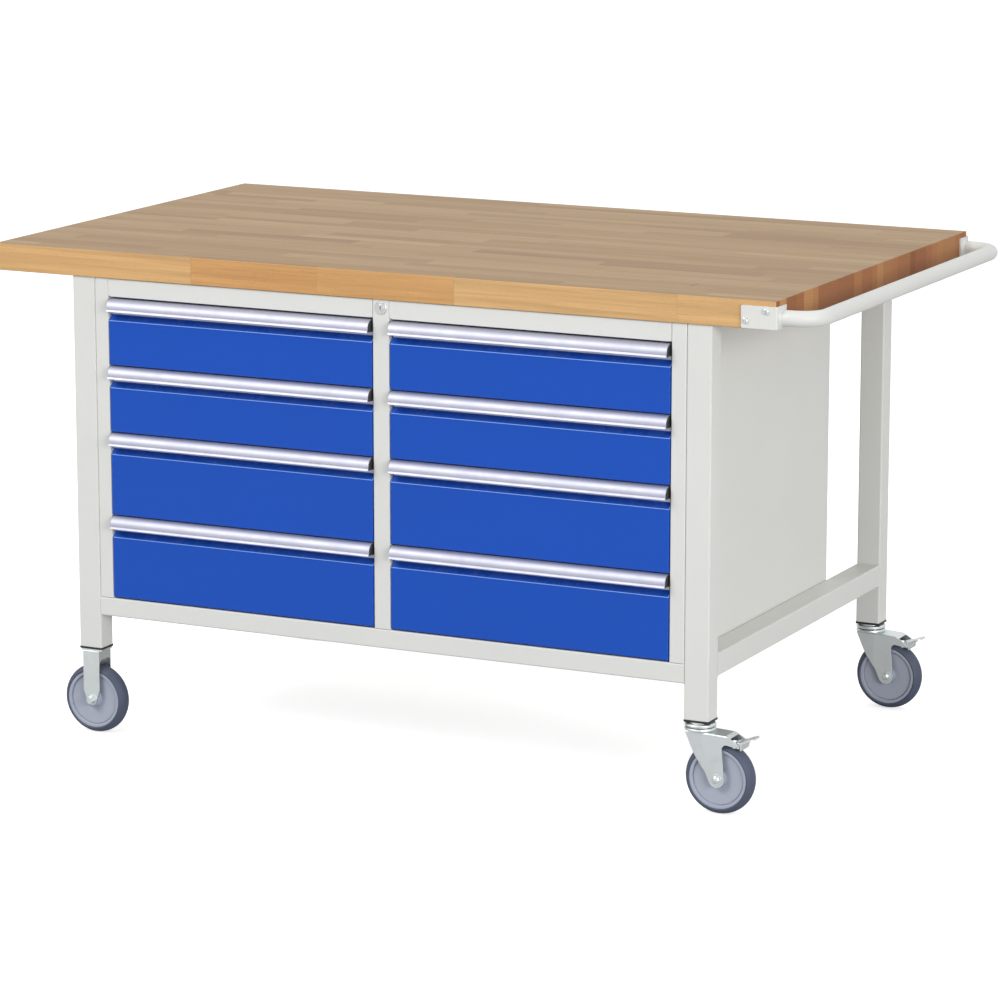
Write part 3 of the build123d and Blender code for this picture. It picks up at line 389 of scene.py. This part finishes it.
# %% Finish: beech top
def beech():
    material, tree, shader, place = new_material("oiled_beech_staves")
    facing = way_faced(tree)
    on_end = sums(tree, "GREATER_THAN", sums(tree, "ABSOLUTE", facing["X"]), 0.7)
    on_edge = sums(tree, "GREATER_THAN", sums(tree, "ABSOLUTE", facing["Y"]), 0.7)
    layout = use(tree, staves, {"Vector": place})
    wood = use(tree, grain, {"Vector": place, "Shift": layout["Shift"]})
    # Painted light by facing: the top greyer as a painted sheen, the long edge more golden as if lit, the end
    # darker as end grain and painted shade.
    painted_sheen_top_colour = ramp(tree, layout["Tone"], [(0.0, card(158, 127, 92)), (0.35, card(171, 141, 103)),
                                            (0.7, card(180, 152, 114)), (1.0, card(164, 132, 94))])
    painted_lit_long_edge_colour = ramp(tree, layout["Tone"], [(0.0, card(207, 156, 100)), (0.5, card(209, 162, 106)),
                                            (1.0, card(213, 171, 118))])
    end_grain_and_painted_shade_colour = ramp(tree, layout["Tone"], [(0.0, card(150, 92, 52)), (0.4, card(166, 108, 62)),
                                           (0.75, card(190, 136, 84)), (1.0, card(138, 80, 44))])
    tone = blend(tree, on_end, blend(tree, on_edge, painted_sheen_top_colour, painted_lit_long_edge_colour), end_grain_and_painted_shade_colour)
    ring_place = vectors(tree, "ADD", place, layout["Shift"])
    rings = put(tree, "TexWave", {"Vector": stretched(tree, ring_place, (0.0, 1.0, 1.0)), "Scale": 60.0,
                                  "Distortion": 3.0, "Detail": 2.0, "Detail Scale": 1.2}, wave_type="RINGS",
                rings_direction="X").outputs["Fac"]
    pores = noise(tree, stretched(tree, place, (1.0, 900.0, 900.0)), 1.0, 2.0, 0.6)
    end_pattern = sums(tree, "MULTIPLY_ADD", rings, 0.16, sums(tree, "MULTIPLY_ADD", pores, 0.5, 0.66))
    waves = sums(tree, "MULTIPLY_ADD", wood["Wave"], 0.62, 0.49)
    long_pattern = sums(tree, "MULTIPLY_ADD", wood["Fibre"], 0.42, waves)
    flecked = sums(tree, "MULTIPLY_ADD", wood["Fleck"], -0.12, long_pattern)
    pattern = put(tree, "Mix", {"Factor": on_end, 2: flecked, 3: end_pattern}).outputs[0]
    jointed = sums(tree, "MULTIPLY", pattern, sums(tree, "MULTIPLY_ADD", layout["Joint"], -0.28, 1.0))
    tree.links.new(blend(tree, 1.0, tone, grey(tree, jointed), "MULTIPLY"), shader.inputs["Base Color"])
    tree.links.new(sums(tree, "MULTIPLY_ADD", wood["Fibre"], 0.22, 0.42), shader.inputs["Roughness"])
    edge = use(tree, edges, {"Vector": place, "Radius": 0.0015, "Edge Amount": 0.0})
    relief = sums(tree, "SUBTRACT", wood["Fibre"], layout["Joint"])
    tree.links.new(bump(tree, relief, edge["Normal"], 0.25, 0.0003), shader.inputs["Normal"])
    shader.inputs["Specular IOR Level"].default_value = 0.28
    shader.inputs["Coat Weight"].default_value = 0.05
    shader.inputs["Coat Roughness"].default_value = 0.35
    return material


BEECH = beech()
print("finish", BEECH.name)

# %% [markdown]
# ## Metals, rubber and plastics
#
# The grips are satin anodised aluminium with lines along their length. The casters are zinc
# plated: bright but cloudy, with a faint cool cast. The tyres are blue-grey rubber that doesn't
# mark floors, and the wheel centres and plugs are moulded plastic, each with its own fine mould
# texture.

# %% Metal finishes
def metal(name, colour, tint, roughness, stretch, scale, depth, radius=0.0008):
    """Plated or anodised metal: lines or clouds in its colour, gloss and relief."""
    material, tree, shader, place = new_material(name)
    drawn = use(tree, lines, {"Vector": place, "Stretch": stretch, "Scale": scale})
    edge = use(tree, edges, {"Vector": place, "Radius": radius, "Edge Amount": 0.35})
    clouded = blend(tree, sums(tree, "MULTIPLY_ADD", drawn["Blotches"], 1.6, -0.3, clamp=True), colour, tint)
    tree.links.new(blend(tree, edge["Edge"], clouded, card(236, 236, 238)), shader.inputs["Base Color"])
    gloss = sums(tree, "MULTIPLY_ADD", drawn["Lines"], 0.16, roughness - 0.08)
    tree.links.new(sums(tree, "MULTIPLY_ADD", drawn["Blotches"], 0.10, gloss), shader.inputs["Roughness"])
    tree.links.new(bump(tree, drawn["Lines"], edge["Normal"], depth, 0.0001), shader.inputs["Normal"])
    shader.inputs["Metallic"].default_value = 1.0
    return material


ALUMINIUM = metal("satin_anodised_aluminium", card(190, 191, 204), card(181, 182, 197), 0.5, (0.02, 1.0, 1.0),
                  2600.0, 0.25)
ZINC = metal("zinc_plate", card(228, 232, 232), card(212, 219, 219), 0.34, (1.0, 1.0, 1.0), 240.0, 0.12)
NICKEL = metal("brushed_nickel", card(236, 236, 236), card(218, 218, 220), 0.22, (1.0, 0.1, 0.1), 900.0, 0.12)
print("metals:", ALUMINIUM.name, ZINC.name, NICKEL.name)

# %% Rubber and plastic finishes
def moulded(name, colour, dusty, roughness, scale, depth, dust_amount=0.15, radius=0.0008):
    """Moulded rubber or plastic with a fine texture and a little dust."""
    material, tree, shader, place = new_material(name)
    edge = use(tree, edges, {"Vector": place, "Radius": radius, "Edge Amount": 0.3})
    hands = use(tree, dust, {"Vector": place, "Amount": dust_amount})
    texture = noise(tree, place, scale, 2.0, 0.5)
    scuffed = blend(tree, sums(tree, "MULTIPLY_ADD", hands["Cloud"], 1.2, -0.35, clamp=True), colour, dusty)
    rubbed = blend(tree, edge["Edge"], scuffed, dusty)
    tree.links.new(blend(tree, hands["Dust"], rubbed, card(190, 188, 182)), shader.inputs["Base Color"])
    tree.links.new(sums(tree, "MULTIPLY_ADD", texture, 0.15, roughness - 0.07), shader.inputs["Roughness"])
    tree.links.new(bump(tree, texture, edge["Normal"], depth, 0.0002), shader.inputs["Normal"])
    return material


RUBBER = moulded("blue_grey_rubber", card(74, 82, 102), card(90, 98, 118), 0.62, 900.0, 0.3)
WHEEL_GREY = moulded("grey_wheel_plastic", card(168, 174, 190), card(182, 187, 200), 0.45, 700.0, 0.12)
BLACK = moulded("black_plastic", card(26, 27, 28), card(44, 45, 46), 0.5, 1200.0, 0.3)
print("moulded:", RUBBER.name, WHEEL_GREY.name, BLACK.name)

# %% [markdown]
# ## Dressing the design's own parts
#
# The record says which finish each part takes, by the name of a material slot. One table turns
# those names into the finishes made above.

# %% Give every part its finish
FINISHES = {"beech": BEECH, "frame_paint": FRAME_GREY, "drawer_paint": DRAWER_BLUE, "tray_paint": TRAY_GREY,
            "grip_aluminium": ALUMINIUM, "zinc_steel": ZINC, "lock_metal": NICKEL, "wheel_plastic": WHEEL_GREY,
            "tyre": RUBBER, "black_plastic": BLACK}
for part in frame["record"]["subparts"]:
    node = frame["nodes"][part["node"]]
    node.data.materials.clear()
    node.data.materials.append(FINISHES[part["material_slot"]])

# %% [markdown]
# ## Tools for modelling
#
# Every added piece starts as a primitive and is shaped in edit mode, as one would by hand. Three
# ways cover nearly all of them, and each draws a line first, by extruding one vertex from point
# to point. A plate is a closed line, filled and extruded to a thickness. A turned shape is half
# an outline, spun about its axis. A bar is a line with a round section. Plates and turned shapes
# end with merged doubles and outward normals.

# %% Helpers for modelling
MM = 0.001


def clear_selection():
    bpy.ops.object.select_all(action="DESELECT")


def pick(piece):
    """Make a piece the active one and the only one selected."""
    clear_selection()
    piece.select_set(True)
    bpy.context.view_layer.objects.active = piece


def draw_line(points):
    """A chain of vertices through points in metres, left selected in edit mode."""
    clear_selection()
    bpy.ops.mesh.primitive_plane_add(size=MM, location=points[0])
    bpy.ops.object.mode_set(mode="EDIT")
    bpy.ops.mesh.merge(type="CENTER")
    for here, there in zip(points, points[1:]):
        step = Vector(there) - Vector(here)
        bpy.ops.mesh.extrude_region_move(TRANSFORM_OT_translate={"value": step})
    bpy.ops.mesh.select_all(action="SELECT")


def close_shape():
    """Merge what meets, point the faces outwards and leave edit mode."""
    bpy.ops.mesh.select_all(action="SELECT")
    bpy.ops.mesh.remove_doubles(threshold=0.00002)
    bpy.ops.mesh.normals_make_consistent(inside=False)
    bpy.ops.object.mode_set(mode="OBJECT")
    bpy.ops.object.transform_apply(location=True, rotation=True, scale=True)
    return bpy.context.object


def plate(points, thickness):
    """A closed outline filled and extruded by a vector."""
    draw_line([*points, points[0]])
    bpy.ops.mesh.remove_doubles(threshold=0.00002)
    bpy.ops.mesh.edge_face_add()
    bpy.ops.mesh.extrude_region_move(TRANSFORM_OT_translate={"value": thickness})
    return close_shape()


def turned(profile, centre, along, steps=32):
    """Half an outline of (distance along the axis, radius) points, spun about an axis through centre."""
    along = Vector(along)
    outward = Vector((0, 0, 1)) if abs(along.z) < 0.5 else Vector((1, 0, 0))
    centre = Vector(centre)
    points = [centre + along * (step * MM) + outward * (radius * MM) for step, radius in profile]
    draw_line([tuple(point) for point in points])
    bpy.ops.mesh.spin(steps=steps, angle=2 * math.pi, center=centre, axis=along)
    return close_shape()


def round_bar(points, radius, resolution):
    """A line of points with a round section and closed ends."""
    draw_line(points)
    bpy.ops.object.mode_set(mode="OBJECT")
    bpy.ops.object.convert(target="CURVE")
    bar = bpy.context.object
    bar.data.bevel_depth = radius * MM
    bar.data.bevel_resolution = resolution
    bar.data.use_fill_caps = True
    bpy.ops.object.convert(target="MESH")
    bpy.ops.object.transform_apply(location=True, rotation=True, scale=True)
    return bpy.context.object


def soften(piece, width):
    """Round the sharp edges with an applied bevel."""
    modifier = piece.modifiers.new("soft_edges", "BEVEL")
    modifier.width = width * MM
    modifier.segments = 2
    modifier.angle_limit = math.radians(30)
    bpy.ops.object.modifier_apply(modifier=modifier.name)


def join(pieces):
    """Join pieces into the first one."""
    pick(pieces[0])
    for piece in pieces[1:]:
        piece.select_set(True)
    bpy.ops.object.join()
    return pieces[0]


def copy_of(piece, move=(0, 0, 0), mirror=None):
    """A copy with its own mesh, moved, or mirrored in a plane given as (axis number, place)."""
    pick(piece)
    bpy.ops.object.duplicate()
    twin = bpy.context.object
    if mirror:
        axis, place = mirror
        twin.scale[axis] = -1
        twin.location[axis] = 2 * place
    twin.location = Vector(twin.location) + Vector(move)
    bpy.ops.object.transform_apply(location=True, rotation=True, scale=True)
    if mirror:
        bpy.ops.object.mode_set(mode="EDIT")
        bpy.ops.mesh.select_all(action="SELECT")
        bpy.ops.mesh.normals_make_consistent(inside=False)
        bpy.ops.object.mode_set(mode="OBJECT")
    return twin


def finish_piece(piece, name, slot, body):
    """Name a piece, give it its finish and the body that it rides on."""
    piece.name = name
    pick(piece)
    bpy.ops.object.shade_smooth_by_angle(angle=math.radians(35))
    piece.data.materials.clear()
    piece.data.materials.append(FINISHES[slot])
    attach(piece, body)


def middle(name):
    """Middle of a part's box."""
    low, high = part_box(name)
    return (Vector(low) + Vector(high)) / 2


DRAWERS = [f"{side}_drawer_{number}" for side in ("left", "right") for number in (1, 2, 3, 4)]
print("modelling helpers ready for", len(DRAWERS), "drawers")

# %% [markdown]
# ## End caps for the grips
#
# A grip is cut from a long extrusion, so its ends are open and sharp. Moulded black caps close
# them. A cap has the shape of the hollow behind the curl, so it is drawn as an outline in the
# grip's end plane, with distances outwards and down from the grip's top edge. One cap is modelled
# at the left end of the first grip, mirrored for the other end, and both are copied to every
# drawer.

# %% Grip end caps
CAP_OUTLINE = [(-7.4, 2.1), (1.2, 2.1), (4.6, 3.7), (7.3, 6.7), (9.2, 10.6), (10.5, 14.6), (11.0, 18.2),
               (11.0, 20.6), (-7.4, 21.8)]
CAP_DEPTH = 9.0
CAP_PROUD = 1.3
GRIP_REACH = 15.0


def grip_caps():
    low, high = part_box("left_drawer_1_grip")
    face = low.y + GRIP_REACH * MM
    end = low.x - CAP_PROUD * MM
    points = [(end, face - out * MM, high.z - drop * MM) for out, drop in CAP_OUTLINE]
    cap = plate(points, (CAP_DEPTH * MM, 0, 0))
    soften(cap, 0.5)
    twin = copy_of(cap, mirror=(0, (low.x + high.x) / 2))
    for drawer in DRAWERS:
        shift = middle(drawer + "_grip") - middle("left_drawer_1_grip")
        for shape, side in ((cap, "left"), (twin, "right")):
            finish_piece(copy_of(shape, move=shift), f"{drawer}_cap_{side}", "black_plastic", drawer)
    for shape in (cap, twin):
        bpy.data.objects.remove(shape)


grip_caps()
print("grip caps:", 2 * len(DRAWERS))

# %% [markdown]
# ## Rolled rims on the trays
#
# A tray's upper edge would cut a hand, so the real one is rolled over. Here the rim is a round
# bar along each side and the back, with the tray's paint.

# %% Tray rims
RIM_RADIUS = 1.7
RIM_DROP = 31.5
RIM_SIDE_INSET = 11.5
RIM_BACK_INSET = 1.0
RIM_FRONT_INSET = 1.5


def tray_rim(drawer):
    """Rolled rim round the three low sides of one tray."""
    low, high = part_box(drawer + "_tray")
    left, right = low.x + RIM_SIDE_INSET * MM, high.x - RIM_SIDE_INSET * MM
    front, back = low.y + RIM_FRONT_INSET * MM, high.y - RIM_BACK_INSET * MM
    top = high.z - RIM_DROP * MM
    return round_bar([(left, front, top), (left, back, top), (right, back, top), (right, front, top)],
                     RIM_RADIUS, 3)


for drawer in DRAWERS:
    finish_piece(tray_rim(drawer), drawer + "_rim", "tray_paint", drawer)
print("tray rims:", len(DRAWERS))

# %% [markdown]
# ## Caster fittings
#
# Between the two races of a swivel caster sits a dark seal ring that keeps grit off the balls.
# Each axle has a washer under each of its heads, and the brake pedal is pulled up by a small coil
# spring round its pin. Seal and washers are turned shapes, and the spring is a row of rings. They
# are modelled once on the front caster and copied to the rear one by the distance between the two
# axles.

# %% Caster seals, washers and springs
SEAL_PROFILE = [(-0.3, 22.0), (-0.3, 24.3), (0.0, 24.8), (0.6, 24.8), (0.9, 24.3), (0.9, 22.0), (-0.3, 22.0)]
WASHER_PROFILE = [(0.0, 6.0), (0.0, 9.6), (0.3, 9.9), (0.8, 9.9), (1.1, 9.6), (1.1, 6.0), (0.0, 6.0)]
RACE_TOP = 0.147
COIL_RADIUS = 4.6
COIL_WIRE = 0.65
COIL_TURNS = 7
COIL_PITCH = 2 * COIL_WIRE * 1.02
PEDAL_BARREL = (0.071, 0.1246)
FORK_OUTER = 20.9


def coil(centre, along):
    """A tightly wound spring, as rings of wire side by side."""
    rings = []
    for number in range(COIL_TURNS):
        clear_selection()
        place = Vector(centre) + Vector(along) * ((number - (COIL_TURNS - 1) / 2) * COIL_PITCH * MM)
        bpy.ops.mesh.primitive_torus_add(major_radius=COIL_RADIUS * MM, minor_radius=COIL_WIRE * MM,
                                         major_segments=28, minor_segments=8, location=place,
                                         rotation=(math.radians(90), 0, 0))
        bpy.ops.object.transform_apply(location=True, rotation=True, scale=True)
        rings.append(bpy.context.object)
    return join(rings)


def caster_fittings():
    axle = middle("swivel_axle_front")
    swivel_x = middle("swivel_caster_heads").x
    cheek = FORK_OUTER * MM
    to_rear = (0, middle("swivel_axle_rear").y - axle.y, 0)
    seal = turned(SEAL_PROFILE, (swivel_x, axle.y, RACE_TOP), (0, 0, 1), 48)
    near = turned(WASHER_PROFILE, (axle.x, axle.y - cheek, axle.z), (0, -1, 0))
    far = turned(WASHER_PROFILE, (axle.x, axle.y + cheek, axle.z), (0, 1, 0))
    washers = join([near, far])
    spring = coil((swivel_x + PEDAL_BARREL[0], axle.y, PEDAL_BARREL[1]), (0, 1, 0))
    for row, move in (("front", (0, 0, 0)), ("rear", to_rear)):
        finish_piece(copy_of(seal, move), f"caster_seal_{row}", "black_plastic", "bench")
        finish_piece(copy_of(washers, move), f"axle_washers_{row}", "zinc_steel", f"swivel_fork_{row}")
        finish_piece(copy_of(spring, move), f"pedal_spring_{row}", "zinc_steel", f"brake_pedal_{row}")
    for shape in (seal, washers, spring):
        bpy.data.objects.remove(shape)


caster_fittings()

# %% [markdown]
# ## Weld beads
#
# The frame is welded from steel tube, and its weld beads are painted over with it. A bead is a
# row of overlapping puddles, so it is drawn as a slightly wavy line with a round section, half
# sunk in the corner that it fills. The push handle's tube has a bead all the way round where it
# meets its flanges.

# %% Weld beads
BEAD_RADIUS = 1.9
BEAD_PITCH = 3.2
BEAD_SWAY = 0.25
SIDE_RUN = 42.0
SIDE_INSET = 1.0
REAR_INSET = 2.0
FRONT_INSET = 3.0


def bead(start, end):
    """A wavy round bar from start to end."""
    start, end = Vector(start), Vector(end)
    count = max(4, round((end - start).length / (BEAD_PITCH * MM)))
    across = (end - start).normalized().orthogonal()
    points = []
    for number in range(2 * count + 1):
        sway = across * ((BEAD_SWAY if number % 2 else -BEAD_SWAY) * MM)
        points.append(tuple(start.lerp(end, number / (2 * count)) + sway))
    return round_bar(points, BEAD_RADIUS, 2)


def rail_beads():
    """Beads where the rails' ends meet the legs: over and under the side rails, under the other two."""
    side_low, side_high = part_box("side_rails")
    front_legs_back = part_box("front_legs")[1].y
    rear_legs_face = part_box("rear_legs")[0].y
    beads = []
    for x in (side_low.x + SIDE_INSET * MM, side_high.x - (SIDE_RUN + SIDE_INSET) * MM):
        for y in (front_legs_back, rear_legs_face):
            for z in (side_low.z, side_high.z):
                beads.append(bead((x, y, z), (x + SIDE_RUN * MM, y, z)))
    for (low, high), inset in ((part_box("rear_rail"), REAR_INSET), (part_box("front_rail"), FRONT_INSET)):
        for x in (low.x, high.x):
            beads.append(bead((x, low.y + inset * MM, low.z), (x, high.y - inset * MM, low.z)))
    return join(beads)


HANDLE_BEAD = [(-0.5, 13.0), (-0.5, 16.4), (0.5, 16.2), (1.6, 15.2), (2.8, 14.2), (3.6, 13.5), (3.6, 13.0),
               (-0.5, 13.0)]
HANDLE_HEIGHT = 0.851
FLANGE_SKIN = 3.0
TUBE_INSET = 20.0


def handle_beads():
    low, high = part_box("push_handle")
    end = top_high.x + FLANGE_SKIN * MM
    rings = []
    for y in (low.y + TUBE_INSET * MM, high.y - TUBE_INSET * MM):
        rings.append(turned(HANDLE_BEAD, (end, y, HANDLE_HEIGHT), (1, 0, 0), 48))
    return join(rings)


finish_piece(rail_beads(), "rail_weld_beads", "frame_paint", "bench")
finish_piece(handle_beads(), "handle_weld_beads", "frame_paint", "bench")
print("weld beads done")

# %% [markdown]
# ## Rivets in the cabinet's back
#
# The back sheet is held by blind rivets: a low dome with a small hole where the pulling pin
# snapped off. One is turned, then copied along the sheet's edges.

# %% Back rivets
RIVET_PROFILE = [(-0.4, 4.2), (0.2, 4.2), (0.9, 3.6), (1.3, 2.6), (1.45, 1.7), (1.2, 1.3), (0.3, 1.2),
                 (0.3, 0.0)]
RIVET_INSET = 11.0


def back_rivets():
    low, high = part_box("cabinet_back")
    left, right = low.x + RIVET_INSET * MM, high.x - RIVET_INSET * MM
    bottom, top = low.z + RIVET_INSET * MM, high.z - RIVET_INSET * MM
    places = [(left + (right - left) * share / 6, z) for share in range(7) for z in (bottom, top)]
    places += [(x, bottom + (top - bottom) * share / 4) for share in (1, 2, 3) for x in (left, right)]
    first = turned(RIVET_PROFILE, (places[0][0], high.y, places[0][1]), (0, 1, 0), 20)
    rivets = [first]
    for x, z in places[1:]:
        rivets.append(copy_of(first, move=(x - places[0][0], 0, z - places[0][1])))
    print("rivets:", len(rivets))
    return join(rivets)


finish_piece(back_rivets(), "back_rivets", "zinc_steel", "bench")

# %% [markdown]
# ## Brackets under the worktop
#
# Wood moves with the seasons, so the top isn't glued to the frame. Angle brackets on the rear
# rail hold it, with a hexagon screw up into the wood and another into the rail. The angle is one
# outline, extruded to its width, and the screws are turned with six steps for the head and many
# for the washer.

# %% Worktop brackets
BRACKET_SHEET = 2.8
BRACKET_RISE = 34.0
BRACKET_REACH = 28.0
BRACKET_WIDTH = 36.0
BRACKET_OUTLINE = [(0.0, 0.0), (0.0, BRACKET_RISE), (BRACKET_REACH, BRACKET_RISE), (BRACKET_REACH, 31.2),
                   (4.6, 31.2), (BRACKET_SHEET, 29.4), (BRACKET_SHEET, 0.0)]
BRACKET_PLACES = (0.08, 0.36, 0.64, 0.92)
RAIL_SCREW_DROP = 19.0
WOOD_SCREW_REACH = 17.0
HEX_HEAD = [(0.0, 7.4), (3.6, 7.4), (4.4, 6.6), (4.4, 0.0)]
SCREW_WASHER = [(-0.2, 9.6), (1.2, 9.6), (1.5, 9.2), (1.5, 0.0)]
HEAD_SEAT = 1.4


def screw(place, along):
    """A hexagon head on its washer."""
    head = turned(HEX_HEAD, Vector(place) + Vector(along) * HEAD_SEAT * MM, along, 6)
    return [head, turned(SCREW_WASHER, place, along, 28)]


def top_brackets():
    low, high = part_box("rear_rail")
    pieces = []
    for share in BRACKET_PLACES:
        x = low.x + (high.x - low.x) * share
        points = [(x - BRACKET_WIDTH / 2 * MM, low.y - out * MM, high.z - (BRACKET_RISE - up) * MM)
                  for out, up in BRACKET_OUTLINE]
        angle = plate(points, (BRACKET_WIDTH * MM, 0, 0))
        soften(angle, 0.6)
        pieces.append(angle)
        pieces += screw((x, low.y - BRACKET_SHEET * MM, high.z - RAIL_SCREW_DROP * MM), (0, -1, 0))
        pieces += screw((x, low.y - WOOD_SCREW_REACH * MM, high.z - BRACKET_SHEET * MM), (0, 0, -1))
    return join(pieces)


finish_piece(top_brackets(), "worktop_brackets", "zinc_steel", "bench")
print("brackets done")

# %% [markdown]
# ## Floor, light and world
#
# A studio floor is a large pale sheet, so that its edge never shows. It looks white to the
# camera, but gives less light back to the bench, or the light from below would fill the dark
# recesses under the grips. The key lamp stands high at the front left: that gives the grips and
# the folds their highlights, and leaves the free end a little darker than the front. A lamp
# further off at the right lights that end, and a weak one above fills in the rest.

# %% Studio
WORLD_LIGHT = 0.48
WORLD_MIRRORED = 0.9
FLOOR_BOUNCE = 0.5
FLOOR_MIRRORED = 0.8
WORLD_SEEN = 1.02
FLOOR_GLOW = 0.62
FLOOR_SPAN = 160.0


def seen_by_camera(tree):
    return put(tree, "LightPath").outputs["Is Camera Ray"]


def by_ray(tree, plain, mirrored):
    """One value for diffuse light and another for reflections."""
    glossy = put(tree, "LightPath").outputs["Is Glossy Ray"]
    return sums(tree, "MULTIPLY_ADD", glossy, mirrored - plain, plain)


def studio_floor():
    clear_selection()
    bpy.ops.mesh.primitive_plane_add(size=FLOOR_SPAN, location=(0.0, 0.0, 0.0))
    floor = bpy.context.object
    floor.name = "floor"
    material, tree, shader, place = new_material("studio_floor")
    cloud = ramp(tree, noise(tree, place, 0.6), [(0.0, card(250, 250, 250)), (1.0, card(255, 255, 255))])
    share = by_ray(tree, FLOOR_BOUNCE, FLOOR_MIRRORED)
    seen = seen_by_camera(tree)
    tree.links.new(blend(tree, seen, grey(tree, share), cloud), shader.inputs["Base Color"])
    tree.links.new(cloud, shader.inputs["Emission Color"])
    tree.links.new(sums(tree, "MULTIPLY", seen, FLOOR_GLOW), shader.inputs["Emission Strength"])
    shader.inputs["Roughness"].default_value = 0.9
    floor.data.materials.append(material)


def lamp(name, place, aim, size, power):
    """A rectangular lamp at a place, turned towards an aim."""
    bpy.ops.object.light_add(type="AREA", location=place)
    light = bpy.context.object
    light.name = name
    light.data.shape = "RECTANGLE"
    light.data.size, light.data.size_y = size
    light.data.energy = power
    light.rotation_euler = (Vector(aim) - Vector(place)).to_track_quat("-Z", "Y").to_euler()


def white_world():
    """White to the camera and softer as light, so that pale paint keeps its shading."""
    world = bpy.data.worlds.new("white_studio")
    world.use_nodes = True
    tree = world.node_tree
    background = tree.nodes["Background"]
    background.inputs["Color"].default_value = (1.0, 1.0, 1.0, 1.0)
    light = by_ray(tree, WORLD_LIGHT, WORLD_MIRRORED)
    strength = put(tree, "Mix", {"Factor": seen_by_camera(tree), 2: light, 3: WORLD_SEEN}).outputs[0]
    tree.links.new(strength, background.inputs["Strength"])
    bpy.context.scene.world = world


studio_floor()
white_world()
lamp("key_lamp", (-3.0, -5.0, 5.0), (0.0, 0.0, 0.5), (3.5, 2.5), 215)
lamp("end_lamp", (7.0, -4.4, 2.2), (0.0, 0.0, 0.5), (4.0, 2.5), 290)
lamp("top_lamp", (0.5, 2.5, 5.0), (0.0, 0.0, 0.8), (5.0, 4.0), 40)
bpy.context.scene.view_settings.view_transform = "Standard"
print("studio ready")
